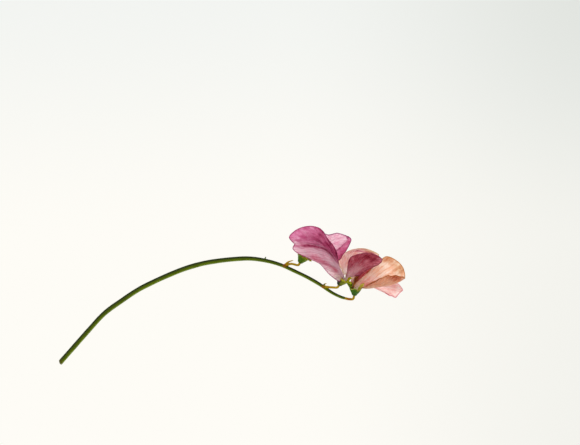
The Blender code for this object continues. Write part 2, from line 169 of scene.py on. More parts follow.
BLOOMS = (
    Bloom(
        base=(34.3, 17.1, 5.6),
        axis=(0.52, 0.83, 0.16),
        up=(-0.1, 0.0, 1.0),
        teeth=((90, 0, 1.9), (95, 0, 2.0), (80, 0, 1.9), (95, 0, 2.0), (90, 0, 1.9)),
        standard=Petal(
            midrib=((40.0, 24.0, 11.0), (46.0, 28.0, 12.0), (52.6, 32.0, 11.1)),
            left=((33.0, 27.0, 11.0), (36.0, 31.5, 11.4), (43.0, 32.6, 12.6), (48.4, 31.2, 11.6)),
            right=((46.0, 18.8, 9.8), (52.9, 18.0, 9.2), (56.4, 21.8, 9.4), (59.2, 26.7, 10.4),
                   (59.6, 29.0, 10.2), (57.4, 30.6, 11.0)),
            bulge_right=0.3, hold=1.2, spread=50.0),
        wing_left=Petal(
            midrib=((36.4, 24.0, 4.6), (37.6, 28.0, 2.2), (38.8, 32.4, -0.4)),
            left=((33.2, 27.5, 4.4), (35.2, 31.5, 1.0)),
            right=((38.2, 24.8, 4.0), (40.2, 28.0, 1.6), (41.4, 31.0, -0.7)),
            spread=65.0, foot=0.7, rows=7, half_columns=4),
        wing_right=Petal(
            midrib=((42.0, 21.4, 6.2), (49.5, 21.0, 6.4), (55.4, 24.4, 7.6), (58.8, 30.0, 8.2)),
            left=((47.0, 22.8, 6.9), (52.2, 24.2, 7.4), (55.4, 27.0, 7.2), (57.6, 30.0, 7.7)),
            right=((43.6, 19.4, 5.0), (50.0, 17.4, 5.8), (54.6, 19.4, 6.2), (58.6, 25.4, 6.6),
                   (59.4, 28.4, 7.1)),
            bulge_left=0.5, spread=35.0, foot=0.7, rows=6, half_columns=5),
        keel=Petal(
            midrib=((40.2, 22.4, 2.8), (44.4, 24.8, 0.8), (49.0, 28.0, 0.3)),
            left=((40.2, 24.0, 4.0), (43.8, 27.0, 2.6), (47.2, 29.0, 1.8)),
            right=((42.0, 21.4, 3.8), (47.0, 23.2, 3.0), (50.0, 26.4, 1.6)),
            bulge_left=1.3, bulge_right=0.3, fold_left=0.7, fold_right=1.5, hold=0.3,
            spread=45.0, foot=0.6, ripple=0.0, rows=5, half_columns=3),
    ),
    Bloom(
        base=(53.6, 6.2, 9.4),
        axis=(0.52, 0.80, 0.24),
        up=(-0.60, 0.20, 0.80),
        teeth=((80, 0, 3.6), (70, 0, 2.6), (66, 0, 4.2), (66, 0, 3.6), (95, 0, 2.2)),
        standard=Petal(
            midrib=((54.9, 12.6, 13.8), (52.7, 17.4, 18.2), (49.6, 22.0, 19.2), (46.1, 25.0, 20.7),
                    (42.4, 25.9, 19.2), (35.8, 26.4, 16.8), (31.6, 26.4, 16.2)),
            left=((54.0, 7.9, 13.2), (51.8, 9.0, 13.3), (48.2, 12.0, 12.0), (44.3, 16.5, 12.5),
                  (39.0, 19.1, 13.9), (34.0, 21.5, 13.4), (30.8, 24.0, 15.3)),
            right=((52.8, 17.4, 12.6), (51.8, 21.2, 14.2), (52.2, 23.2, 15.2), (50.4, 26.2, 15.2),
                   (48.0, 29.2, 15.8), (45.3, 33.2, 15.4), (43.2, 34.6, 15.5), (39.6, 35.4, 16.2),
                   (35.0, 34.6, 16.0), (31.2, 32.6, 15.6), (29.0, 29.6, 14.6)),
            bulge_right=0.3, fold_left=2.0, fold_right=3.0, ripple=0.2, spread=35.0,
            half_columns=11),
        wing_left=Petal(
            midrib=((57.6, 13.2, 10.6), (60.0, 18.4, 10.6), (66.0, 22.6, 10.4), (73.4, 21.2, 9.6)),
            left=((52.9, 17.0, 8.5), (55.5, 21.0, 8.6), (59.2, 23.4, 9.4), (65.8, 24.3, 9.8),
                  (71.2, 22.6, 9.6)),
            right=((60.4, 12.6, 10.4), (66.0, 13.8, 10.6), (72.0, 17.4, 10.2)),
            spread=35.0, foot=0.7, half_columns=7),
        wing_right=Petal(
            midrib=((60.4, 12.4, 13.4), (65.0, 15.6, 14.6), (70.6, 18.4, 13.6), (75.0, 19.0, 12.2)),
            left=((57.9, 16.4, 13.4), (59.3, 20.0, 12.9), (64.6, 21.8, 12.6), (71.4, 21.3, 12.2)),
            right=((63.8, 11.0, 12.6), (67.4, 13.8, 12.4), (72.0, 15.7, 11.8), (74.4, 17.4, 11.8)),
            spread=35.0, foot=0.7, half_columns=8),
        keel=Petal(
            midrib=((58.8, 12.4, 7.6), (61.2, 16.2, 6.2), (63.6, 20.0, 5.6)),
            left=((57.0, 13.6, 8.0), (58.6, 17.8, 7.2), (61.4, 20.6, 6.2)),
            right=((60.4, 11.8, 8.0), (63.4, 15.2, 7.2), (64.6, 18.4, 6.2)),
            spread=50.0, foot=0.6, ripple=0.0, rows=5, half_columns=3),
    ),
    Bloom(
        base=(61.4, 0.9, 4.4),
        axis=(0.15, 0.93, 0.30),
        up=(0.35, -0.2, 0.90),
        teeth=((34, -32, 7.6), (70, 0, 2.6), (32, 0, 5.4), (36, -8, 5.2), (66, 0, 3.0)),
        standard=Petal(
            midrib=((65.8, 4.7, 9.1), (74.0, 5.2, 8.0), (81.6, 6.8, 6.0), (86.5, 9.4, 5.8)),
            left=((66.4, 10.6, 8.8), (70.2, 15.0, 9.4), (75.6, 19.6, 8.6), (78.4, 20.2, 9.0),
                  (82.0, 18.4, 7.9), (85.0, 15.6, 6.9), (86.6, 12.0, 4.2)),
            right=((70.6, 7.8, 10.0), (76.3, 10.5, 10.5), (81.4, 10.8, 8.7), (85.2, 10.2, 6.8)),
            bulge_left=0.6, spread=55.0, half_columns=10),
        wing_left=Petal(
            midrib=((62.0, 9.4, 7.8), (66.0, 13.6, 7.8), (71.0, 16.6, 5.2)),
            left=((59.6, 7.8, 5.4), (60.9, 10.8, 5.4), (64.4, 14.6, 8.0), (68.0, 17.2, 7.0)),
            right=((64.6, 9.8, 7.0), (69.0, 12.4, 5.4), (72.0, 14.6, 6.6)),
            bulge_left=0.3, fold_left=3.0, fold_right=1.5, spread=50.0, foot=0.7, rows=7,
            half_columns=4),
        wing_right=Petal(
            midrib=((67.0, 6.4, 3.3), (74.0, 5.6, 2.5), (80.5, 3.4, 1.8), (84.2, 1.4, -1.7)),
            left=((66.8, 8.0, 6.2), (75.0, 8.4, 4.2), (82.0, 7.0, 3.6), (85.7, 3.8, 2.4)),
            right=((72.4, 4.6, -1.0), (77.0, 1.9, -1.4), (81.8, -0.5, -2.2)),
            bulge_left=0.3, bulge_right=0.3, spread=55.0, foot=0.7, rows=6, half_columns=5),
        keel=Petal(
            midrib=((63.4, 9.4, 2.6), (68.0, 13.0, 1.4), (73.4, 15.2, 0.9)),
            left=((62.4, 10.8, 4.2), (66.4, 14.6, 3.2), (71.4, 16.4, 3.6)),
            right=((65.2, 9.6, 2.2), (70.0, 12.2, 2.6), (73.8, 13.8, 3.0)),
            bulge_left=0.3, hold=0.0, spread=45.0, foot=0.6, ripple=0.0, rows=5,
            half_columns=3),
    ),
)


def srgb(colour: Colour) -> tuple[float, float, float, float]:
    """The linear colour of some display values."""
    parts = [value / 255 for value in colour]
    linear = [p / 12.92 if p <= 0.04045 else ((p + 0.055) / 1.055) ** 2.4 for p in parts]
    return (*linear, 1.0)


@dataclass(frozen=True)
class Patch:
    """A soft mark of colour on a petal, placed by its share across the blade and out along it."""

    across: float
    out: float
    wide: float
    long: float
    colour: Colour
    strength: float = 1.0


@dataclass(frozen=True)
class ShadeLine:
    """A straight line of painted shade across a petal, with a painted-shade tint on the blade
    beyond it, along a fold's crease and where another petal lies under it.
    """

    across: float
    out: float
    turn: float  # where the blade beyond it lies, in degrees
    colour: Colour
    line: Colour
    strength: float


@dataclass(frozen=True)
class PetalFinish:
    """A petal's colours, as the light shows them when it comes through one blade."""

    slot: str
    left: Colour
    right: Colour
    foot: Colour
    # rim: partly the margin's own tone, partly painted shade where the blade turns edge-on
    rim: Colour
    vein: Colour
    patches: tuple[Patch, ...] = ()
    shade_lines: tuple[ShadeLine, ...] = ()
    veins: float = 0.6
    mottle: float = 0.9
    rim_width: float = 0.75
    see_through: float = 0.96
    vein_count: float = 19.0
    fineness: float = 1.3
    speckle_scale: float = 1000.0
    sheen: float = 0.25


@dataclass(frozen=True)
class CalyxFinish:
    """A calyx's colours: its cup, the cup's other side, its teeth, their other side, their edges
    and the inside. The sides are painted light and shade, and the inside tone is painted shade
    towards the cup's foot.
    """

    cup: Colour
    cup_lit_side: Colour
    teeth: Colour
    teeth_painted_side: Colour
    edge: Colour
    # Painted shade, laid over the cup towards its foot on both faces.
    inside: Colour
    see_through: float = 0.4
    sheen: float = 0.1
    ribs: float = 20.0


@dataclass(frozen=True)
class StemFinish:
    """The stem's colours, from its shaded side to its cut end; the shaded and lit tones are painted
    shade and painted light.
    """

    # shaded and lit are painted shade and painted light on the stem's two sides
    shaded: Colour = (18, 40, 0)
    lit: Colour = (138, 166, 4)
    cloud: Colour = (40, 62, 2)
    ridge: Colour = (126, 140, 16)
    stalk: Colour = (206, 160, 10)
    stalk_pale: Colour = (220, 186, 24)
    joint: Colour = (206, 96, 20)
    cut: Colour = (121, 110, 30)
    see_through: float = 0.12


class Graph:
    """The nodes of a material or a group, added one by one with their values and links."""

    def __init__(self, tree: bpy.types.NodeTree) -> None:
        """Keeps the tree that the nodes go to."""
        self.tree = tree

    def add(self, kind: str, values: dict | None = None, **settings: object) -> bpy.types.Node:
        """Adds one node.

        Args:
            kind: The node's type name.
            values: A socket to link, or a plain value, for each of its inputs by name or number.
            **settings: The node's own settings.

        Returns:
            The new node.
        """
        node = self.tree.nodes.new(kind)
        for name, setting in settings.items():
            setattr(node, name, setting)
        for key, value in (values or {}).items():
            if isinstance(value, bpy.types.NodeSocket):
                self.tree.links.new(value, node.inputs[key])
            else:
                node.inputs[key].default_value = value
        return node

    def math(self, operation: str, *values: object) -> bpy.types.NodeSocket:
        """The result of a Math node on the given sockets or numbers."""
        return self.add("ShaderNodeMath", dict(enumerate(values)), operation=operation).outputs[0]

    def times(self, first: object, second: object) -> bpy.types.NodeSocket:
        """The product of two values."""
        return self.math("MULTIPLY", first, second)

    def plus(self, first: object, second: object) -> bpy.types.NodeSocket:
        """The sum of two values."""
        return self.math("ADD", first, second)

    def rest(self, value: object) -> bpy.types.NodeSocket:
        """What a share leaves of 1."""
        return self.math("SUBTRACT", 1.0, value)

    def vector(self, operation: str, *values: object) -> bpy.types.NodeSocket:
        """The vector from a Vector Math node on the given sockets or vectors."""
        return self.add("ShaderNodeVectorMath", dict(enumerate(values)),
                        operation=operation).outputs["Vector"]

    def split(self, vector: object) -> tuple[bpy.types.NodeSocket, bpy.types.NodeSocket]:
        """The first two parts of a vector."""
        parts = self.add("ShaderNodeSeparateXYZ", {0: vector})
        return parts.outputs[0], parts.outputs[1]

    def mix(self, share: object, first: object, second: object,
            blend: str = "MIX") -> bpy.types.NodeSocket:
        """The colour between two others, by a share from 0 to 1."""
        first, second = (srgb(c) if isinstance(c, tuple) else c for c in (first, second))
        node = self.add("ShaderNodeMix", {0: share, 6: first, 7: second}, data_type="RGBA",
                        blend_type=blend)
        return node.outputs[2]

    def tint(self, base: object, colour: object, mask: object,
             strength: float) -> bpy.types.NodeSocket:
        """A colour with another laid over it where a mask is, as strongly as is said."""
        return self.mix(self.times(mask, strength), base, colour)

    def deepen(self, colour: object) -> bpy.types.NodeSocket:
        """The colour that light has after it meets another one twice."""
        return self.mix(1.0, colour, colour, "MULTIPLY")

    def step(self, value: object, low: float, high: float) -> bpy.types.NodeSocket:
        """A smooth rise from 0 at low to 1 at high."""
        node = self.add("ShaderNodeMapRange", {"Value": value, "From Min": low, "From Max": high},
                        interpolation_type="SMOOTHSTEP")
        return node.outputs["Result"]

    def noise(self, vector: object, scale: object, detail: float = 2.0) -> bpy.types.NodeSocket:
        """A noise value of 0 to 1 at the vector."""
        node = self.add("ShaderNodeTexNoise", {"Vector": vector, "Scale": scale, "Detail": detail})
        return node.outputs["Fac"]

    def uneven(self, vector: object, scale: float, detail: float,
               size: float) -> bpy.types.NodeSocket:
        """A noise that swings about 0, by half the size to each side."""
        return self.times(self.math("SUBTRACT", self.noise(vector, scale, detail), 0.5), size)

    def mark(self, name: str) -> bpy.types.NodeSocket:
        """A value that the mesh stores at its points."""
        return self.add("ShaderNodeAttribute", attribute_name=name).outputs["Fac"]

    def spot(self) -> bpy.types.NodeSocket:
        """The place on the piece, in metres."""
        return self.add("ShaderNodeTexCoord").outputs["Object"]

    def grid(self) -> bpy.types.NodeSocket:
        """The share across a sheet and out along it."""
        return self.add("ShaderNodeUVMap", uv_map="UVMap").outputs[0]

    def bump(self, height: object, strength: float, distance: float) -> bpy.types.NodeSocket:
        """The normal that a height gives, with its depth in metres."""
        return self.add("ShaderNodeBump", {"Height": height, "Strength": strength,
                                           "Distance": distance}).outputs[0]

    def group(self, tree: bpy.types.NodeTree, **values: object) -> bpy.types.Node:
        """Places a node group with its own values."""
        return self.add("ShaderNodeGroup", values, node_tree=tree)


def new_group(name: str, inputs: dict[str, str], outputs: dict[str, str]) -> tuple:
    """Starts a shader node group.

    Args:
        name: The group's name.
        inputs: Its input sockets' types by name.
        outputs: Its output sockets' types by name.

    Returns:
        The group's tree, its graph, its input node and its output node.
    """
    tree = bpy.data.node_groups.new(name, "ShaderNodeTree")
    for label, kind in inputs.items():
        tree.interface.new_socket(label, in_out="INPUT", socket_type=kind)
    for label, kind in outputs.items():
        tree.interface.new_socket(label, in_out="OUTPUT", socket_type=kind)
    graph = Graph(tree)
    return tree, graph, graph.add("NodeGroupInput"), graph.add("NodeGroupOutput")


class Effects:
    """The surface effects that several finishes share, as shader node groups."""

    def __init__(self) -> None:
        """Builds each group once."""
        self.veins = self.vein_group()
        self.patch = self.patch_group()
        self.crease = self.crease_group()
        self.fold = self.shade_line_group()

    def vein_group(self) -> bpy.types.NodeTree:
        """Veins that fan out and fork towards the margin.

        Returns:
            A group that gives a mask of the veins from a petal's own coordinates.
        """
        tree, graph, source, sink = new_group(
            "petal_veins", {"Coordinate": "NodeSocketVector", "Count": "NodeSocketFloat"},
            {"Veins": "NodeSocketFloat"})
        place_in, count = source.outputs["Coordinate"], source.outputs["Count"]
        across, out = graph.split(place_in)
        bent = graph.plus(across, graph.uneven(place_in, 7.0, 2.0, 0.07))
        total = None
        for forks, starts, weight in ((1, -0.2, 1.0), (2, 0.35, 0.75), (4, 0.6, 0.55)):
            near = graph.math("PINGPONG", graph.times(bent, graph.times(count, forks)), 0.5)
            fade = graph.times(graph.step(out, starts, starts + 0.25), weight)
            mark = graph.times(graph.rest(graph.step(near, 0.02, 0.2)), fade)
            total = mark if total is None else graph.math("MAXIMUM", total, mark)
        tree.links.new(total, sink.inputs["Veins"])
        return tree

    def patch_group(self) -> bpy.types.NodeTree:
        """A soft round mark with an uneven edge.

        Returns:
            A group that gives the mark's mask round a centre.
        """
        tree, graph, source, sink = new_group(
            "soft_patch", {"Coordinate": "NodeSocketVector", "Centre": "NodeSocketVector",
                           "Reach": "NodeSocketVector"}, {"Mask": "NodeSocketFloat"})
        place_in = source.outputs["Coordinate"]
        away = graph.vector("SUBTRACT", place_in, source.outputs["Centre"])
        scaled = graph.vector("DIVIDE", away, source.outputs["Reach"])
        length = graph.add("ShaderNodeVectorMath", {0: scaled}, operation="LENGTH")
        distance = graph.plus(length.outputs["Value"], graph.uneven(place_in, 9.0, 3.0, 0.7))
        tree.links.new(graph.rest(graph.step(distance, 0.25, 1.15)), sink.inputs["Mask"])
        return tree

    def shade_line_group(self) -> bpy.types.NodeTree:
        """A straight line through a point, for painted shade along a fold's crease and at the edge
        of a petal that lies under another.

        Returns:
            A group that gives a mask of the blade beyond the line, and one of the line itself.
        """
        tree, graph, source, sink = new_group(
            "petal_shade_line", {"Coordinate": "NodeSocketVector", "Centre": "NodeSocketVector",
                           "Beyond": "NodeSocketVector"},
            {"Beyond": "NodeSocketFloat", "Line": "NodeSocketFloat"})
        place_in = source.outputs["Coordinate"]
        away = graph.vector("SUBTRACT", place_in, source.outputs["Centre"])
        past = graph.add("ShaderNodeVectorMath", {0: away, 1: source.outputs["Beyond"]},
                         operation="DOT_PRODUCT").outputs["Value"]
        distance = graph.plus(past, graph.uneven(place_in, 8.0, 2.0, 0.03))
        line = graph.rest(graph.step(graph.math("ABSOLUTE", distance), 0.004, 0.016))
        tree.links.new(graph.step(distance, -0.004, 0.01), sink.inputs["Beyond"])
        tree.links.new(line, sink.inputs["Line"])
        return tree

    def crease_group(self) -> bpy.types.NodeTree:
        """Fine creases along the veins, and cloudier puckers between them.

        Returns:
            A group that gives a height and masks of its higher places and of its crests; the
            material reads these as the blade's uneven thickness, with painted shade in the low
            places and painted highlight on the crests.
        """
        tree, graph, source, sink = new_group(
            "petal_creases", {"Coordinate": "NodeSocketVector", "Fineness": "NodeSocketFloat"},
            {"Height": "NodeSocketFloat", "Thin": "NodeSocketFloat", "Pale": "NodeSocketFloat"})
        layers = []
        for stretch, detail, weight in (((26.0, 5.0, 1.0), 4.0, 0.6), ((13.0, 7.0, 1.0), 2.0, 0.4)):
            drawn = graph.vector("MULTIPLY", source.outputs["Coordinate"], stretch)
            layers.append(graph.times(graph.noise(drawn, source.outputs["Fineness"], detail),
                                      weight))
        height = graph.plus(*layers)
        tree.links.new(height, sink.inputs["Height"])
        tree.links.new(graph.step(height, 0.4, 0.54), sink.inputs["Thin"])
        tree.links.new(graph.step(height, 0.52, 0.62), sink.inputs["Pale"])
        return tree


def new_material(name: str) -> tuple[bpy.types.Material, Graph]:
    """An empty node material and the graph to fill it by."""
    material = bpy.data.materials.new(name)
    material.use_nodes = True
    material.node_tree.nodes.clear()
    return material, Graph(material.node_tree)


def leaf_shader(graph: Graph, colour: object, roughness: object, normal: object,
                see_through: float, sheen: float = 0.0) -> None:
    """Ends a material as a thin living blade that lets part of the light through.

    Args:
        graph: The material's graph.
        colour: What its surface reflects, and the tint that it gives to light from behind.
        roughness: The surface's roughness.
        normal: The bumped normal.
        see_through: The share of the light that comes through.
        sheen: The strength of the down's soft sheen.
    """
    surface = graph.add("ShaderNodeBsdfPrincipled", {"Base Color": colour, "Roughness": roughness,
                                                     "Normal": normal, "Sheen Weight": sheen,
                                                     "Specular IOR Level": 0.16})
    # The light meets two walls of a closed blade, so each wall has the root of the tint.
    one_wall = graph.add("ShaderNodeGamma", {"Color": colour, "Gamma": 0.5}).outputs[0]
    glow = graph.add("ShaderNodeBsdfTranslucent", {"Color": one_wall, "Normal": normal})
    both = graph.add("ShaderNodeMixShader", {0: see_through, 1: surface.outputs[0],
                                             2: glow.outputs[0]})
    graph.add("ShaderNodeOutputMaterial", {"Surface": both.outputs[0]})


def petal_material(name: str, finish: PetalFinish, effects: Effects) -> bpy.types.Material:
    """The thin, veined, softly creased finish of a petal.

    Args:
        name: The material's name.
        finish: Its colours and the strength of its marks.
        effects: The shared groups.

    Returns:
        The material.
    """
    material, graph = new_material(name)
    grid = graph.grid()
    across, out = graph.split(grid)
    colour = graph.mix(graph.step(across, 0.42, 0.58), finish.left, finish.right)
    colour = graph.mix(graph.step(out, 0.18, 0.45), finish.foot, colour)
    for patch in finish.patches:
        mask = graph.group(effects.patch, Coordinate=grid, Centre=(patch.across, patch.out, 0.0),
                           Reach=(patch.wide, patch.long, 1.0)).outputs[0]
        colour = graph.tint(colour, patch.colour, mask, patch.strength)
    # Painted shade: a darker line across the blade, with a darker tint beyond it.
    for fold in finish.shade_lines:
        turn = math.radians(fold.turn)
        marks = graph.group(effects.fold, Coordinate=grid, Centre=(fold.across, fold.out, 0.0),
                            Beyond=(math.cos(turn), math.sin(turn), 0.0)).outputs
        colour = graph.tint(colour, fold.colour, marks["Beyond"], fold.strength)
        colour = graph.tint(colour, fold.line, marks["Line"], 0.8)
    crease = graph.group(effects.crease, Coordinate=grid, Fineness=finish.fineness).outputs
    # Partly the blade's uneven thickness, partly painted shade: the low places of the creases are
    # darkened.
    thick_and_crease_shade = graph.rest(crease["Thin"])
    colour = graph.tint(colour, graph.deepen(colour), thick_and_crease_shade, finish.mottle)
    # Partly the blade's uneven thickness, partly painted highlight: the crests of the creases are
    # paled.
    pale = graph.add("ShaderNodeGamma", {"Color": colour, "Gamma": 0.55}).outputs[0]
    colour = graph.tint(colour, pale, crease["Pale"], finish.mottle)
    speckle = graph.step(graph.noise(graph.spot(), finish.speckle_scale), 0.42, 0.6)
    colour = graph.tint(colour, graph.deepen(colour), speckle, 0.5 * finish.mottle)
    veins = graph.group(effects.veins, Coordinate=grid, Count=finish.vein_count).outputs[0]
    colour = graph.tint(colour, finish.vein, veins, finish.veins)
    # The margin's line: partly the petal's own deeper edge, partly painted shade where the blade
    # turns edge-on.
    edge = graph.rest(graph.step(graph.mark("margin"), 0.1, finish.rim_width))
    colour = graph.mix(edge, colour, finish.rim)
    height = graph.plus(graph.times(crease["Height"], 0.8), graph.times(veins, 0.3))
    rough = graph.plus(0.5, graph.times(crease["Thin"], 0.12))
    leaf_shader(graph, colour, rough, graph.bump(height, 0.5, 0.0003), finish.see_through,
                finish.sheen)
    return material


def deselect() -> None:
    """Leaves nothing selected, so that an operator acts on one piece only."""
    for obj in bpy.context.view_layer.objects:
        obj.select_set(False)


def pick(obj: bpy.types.Object) -> None:
    """Selects one object alone and makes it the active one."""
    deselect()
    obj.select_set(True)
    bpy.context.view_layer.objects.active = obj


def smooth_line(points: list, count: int) -> list[Vector]:
    """Evenly spaced points along a smooth curve.

    Args:
        points: The points that it goes through.
        count: How many steps it is cut into.

    Returns:
        The points, one more than the steps.
    """
    points = [Vector(p) for p in points]
    ahead = points[1:] + [points[-1]]
    behind = [points[0]] + points[:-1]
    slopes = [(after - before) / 6 for before, after in zip(behind, ahead)]
    dense = [points[0]]
    for index in range(len(points) - 1):
        start, end = points[index], points[index + 1]
        dense += interpolate_bezier(start, start + slopes[index], end - slopes[index + 1], end,
                                    CURVE_STEPS)[1:]
    lengths = [0.0]
    for before, after in zip(dense, dense[1:]):
        lengths.append(lengths[-1] + (after - before).length)
    spaced = []
    segment = 0
    for step in range(count + 1):
        target = lengths[-1] * step / count
        while segment < len(dense) - 2 and lengths[segment + 1] < target:
            segment += 1
        span = lengths[segment + 1] - lengths[segment]
        part = min(max((target - lengths[segment]) / span, 0.0), 1.0)
        spaced.append(dense[segment].lerp(dense[segment + 1], part))
    return spaced


def pressed(height: float, blade: float) -> float:
    """The height of a blade's middle where the table holds it up."""
    over = height - blade / 2
    if over >= PRESS:
        return height
    if over <= -PRESS:
        return blade / 2
    return blade / 2 + (over + PRESS) ** 2 / (4 * PRESS)


def place(point: Vector) -> Vector:
    """The model's coordinates, in metres, of a point given in millimetres."""
    return Vector((point[0] - CENTRE[0], point[1] - CENTRE[1], point[2])) * MM


def middle_of(points: tuple) -> Vector:
    """The mean of some points."""
    return sum((Vector(point) for point in points), Vector()) / len(points)


def sheet_object(name: str, rows: list[list[Vector]], wall: float, ring: bool = False,
                 shape: Callable[[bpy.types.Object], None] | None = None) -> bpy.types.Object:
    """A thin closed blade whose middle passes through rows of points.

    Args:
        name: The piece's name.
        rows: Its points in millimetres, row by row.
        wall: The blade's thickness in millimetres.
        ring: Whether the two ends of each row meet.
        shape: What is done to the flat sheet before it gets its thickness.

    Returns:
        The finished object, with its place in its mesh.
    """
    deselect()
    across, out = len(rows[0]) - 1, len(rows) - 1
    bpy.ops.mesh.primitive_grid_add(x_subdivisions=across, y_subdivisions=out, size=1.0,
                                    calc_uvs=True)
    obj = bpy.context.active_object
    obj.name = obj.data.name = name
    for vertex in obj.data.vertices:
        column = round((vertex.co.x + 0.5) * across)
        row = round((vertex.co.y + 0.5) * out)
        vertex.co = place(rows[row][column])
    if ring:
        bpy.ops.object.mode_set(mode="EDIT")
        bpy.ops.mesh.select_all(action="SELECT")
        bpy.ops.mesh.remove_doubles(threshold=WELD * MM)
        bpy.ops.mesh.normals_make_consistent(inside=False)
        bpy.ops.object.mode_set(mode="OBJECT")
    if shape is not None:
        shape(obj)
    bpy.ops.object.shade_smooth()
    shell = obj.modifiers.new("Blade", "SOLIDIFY")
    shell.thickness = wall * MM
    shell.offset = 0.0
    if "thin" in obj.vertex_groups:
        shell.vertex_group = "thin"
        shell.thickness_vertex_group = MARGIN_SHARE
    bpy.ops.object.modifier_apply(modifier="Blade")
    return obj


@dataclass
class Flower:
    """One flower of the spray: its shape, its name, and the finishes of its pieces."""

    name: str
    bloom: Bloom
    calyx: CalyxFinish
    finishes: dict[Kind, PetalFinish]

    def axes(self) -> tuple[Vector, Vector, Vector]:
        """The flower's axis, its standard's side and the side across them, as unit vectors."""
        axis = Vector(self.bloom.axis).normalized()
        up = Vector(self.bloom.up)
        up = (up - axis * up.dot(axis)).normalized()
        return axis, up, axis.cross(up)

    def claw_seat(self, kind: Kind) -> tuple[Vector, Vector]:
        """Where a petal's claw stands at the calyx mouth.

        Args:
            kind: Which petal it is.

        Returns:
            The claw's place and the direction across it.
        """
        axis, up, across = self.axes()
        mouth = Vector(self.bloom.base) + axis * CUP_LENGTH
        if kind is Kind.STANDARD:
            return mouth + up * CLAW_OFFSET, across
        if kind is Kind.KEEL:
            return mouth - up * CLAW_OFFSET, across
        apart = middle_of(self.bloom.wing_left.midrib) - middle_of(self.bloom.wing_right.midrib)
        side = across if (across.dot(apart) > 0) == (kind is Kind.WING_LEFT) else -across
        return mouth + side * CLAW_OFFSET, up

    @staticmethod
    def half_blade(petal: Petal, left: bool, seat: Vector, side: Vector, forward: Vector,
                   midrib: list[Vector]) -> list[list[Vector]]:
        """Rows of points over half a blade, from its outer vein to the midrib.

        The veins fan out flat from the claw's end and then bend over to the margin.

        Args:
            petal: The petal's shape.
            left: Which half it is.
            seat: The end of the claw.
            side: The way to this half's outer vein at the claw.
            forward: The way that the midrib leaves the claw.
            midrib: The midrib's points, one for each row.

        Returns:
            The rows, from the claw out to the margin.
        """
        margin, bulge, fold = ((petal.left, petal.bulge_left, petal.fold_left) if left else
                               (petal.right, petal.bulge_right, petal.fold_right))
        tip = midrib[-1]
        columns = petal.half_columns * FINE_COLUMNS
        rim = smooth_line([*margin, tip], columns)
        normal = (tip - seat).cross(middle_of(margin) - seat).normalized()
        normal = normal if normal.z >= 0 else -normal
        steps = len(midrib) - 1
        foot = petal.foot * FOOT_GROWTH

        def vein(way: Vector, end: Vector) -> list[Vector]:
            """A line that leaves the claw one way and bends over to its end."""
            start = seat + way * foot
            reach = (end - start).length / 3
            return interpolate_bezier(start, start + way * reach, end.lerp(start, 0.3), end,
                                      steps + 1)

        middle = vein(forward, tip)
        rows = [[] for _ in range(steps + 1)]
        for column in range(columns + 1):
            inward = column / columns
            spread = math.radians(petal.spread) * (1 - inward)
            line = vein(forward * math.cos(spread) + side * math.sin(spread), rim[column])
            for row in range(steps + 1):
                out = row / steps
                bow = (midrib[row] - middle[row]) * inward**fold
                rise = bulge * math.sin(math.pi * out) * math.sin(math.pi * inward)
                wave = petal.ripple * out**3 * math.sin(math.pi * inward) ** 0.5
                wave *= math.sin(petal.waves * math.tau * inward)
                rows[row].append(line[row] + bow + normal * (rise + wave))
        return rows

    def petal_rows(self, kind: Kind, petal: Petal) -> list[list[Vector]]:
        """A petal's points, row by row from inside the calyx out to its margin.

        Args:
            kind: Which petal it is.
            petal: The petal's shape.

        Returns:
            The rows, in millimetres.
        """
        axis = self.axes()[0]
        seat, across = self.claw_seat(kind)
        width = middle_of(petal.left) - middle_of(petal.right)
        width = (width - axis * width.dot(axis)).normalized()
        turn = petal.hold if across.dot(width) > 0 else -petal.hold
        across = (across * turn + width).normalized()
        root = seat + axis * CLAW_RISE
        ahead = Vector(petal.midrib[0]) - root
        forward = (ahead - across * ahead.dot(across)).normalized()
        steps = (petal.rows - 1) * FINE_ROWS
        foot = petal.foot * FOOT_GROWTH
        midrib = smooth_line([root + forward * foot, *petal.midrib], steps)
        left = self.half_blade(petal, True, root, across, forward, midrib)
        right = self.half_blade(petal, False, root, -across, forward, midrib)
        rows = [before + after[-2::-1] for before, after in zip(left, right)]
        last = len(rows[0]) - 1
        base = [seat - axis * CLAW_DEPTH + across * foot * (1 - 2 * column / last)
                for column in range(last + 1)]
        claw = [[point.lerp(rows[0][column], step / CLAW_ROWS)
                 for column, point in enumerate(base)] for step in range(CLAW_ROWS)]
        return claw + rows

    def make_petal(self, kind: Kind, effects: Effects) -> bpy.types.Object:
        """One petal, thin at its margin, with creases and puckers in its blade.

        Args:
            kind: Which petal it is.
            effects: The shared finish groups.

        Returns:
            The petal.
        """
        petal = getattr(self.bloom, kind.value)
        name = f"{self.name}_{kind.value}"
        rows = self.petal_rows(kind, petal)
        rows = [[Vector((p.x, p.y, pressed(p.z, SOLID_BLADE))) for p in row] for row in rows]
        finish = self.finishes[kind]

        def shape(obj: bpy.types.Object) -> None:
            """Marks how far the margin is, thins it, and creases the blade."""
            mark_margin(obj, rows)
            crease_blade(obj, len(name))

        obj = sheet_object(f"{name}_blade", rows, BLADE, shape=shape)
        obj.data.materials.append(petal_material(f"{name}_finish", finish, effects))
        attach(obj, "root")
        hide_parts(name)
        return obj


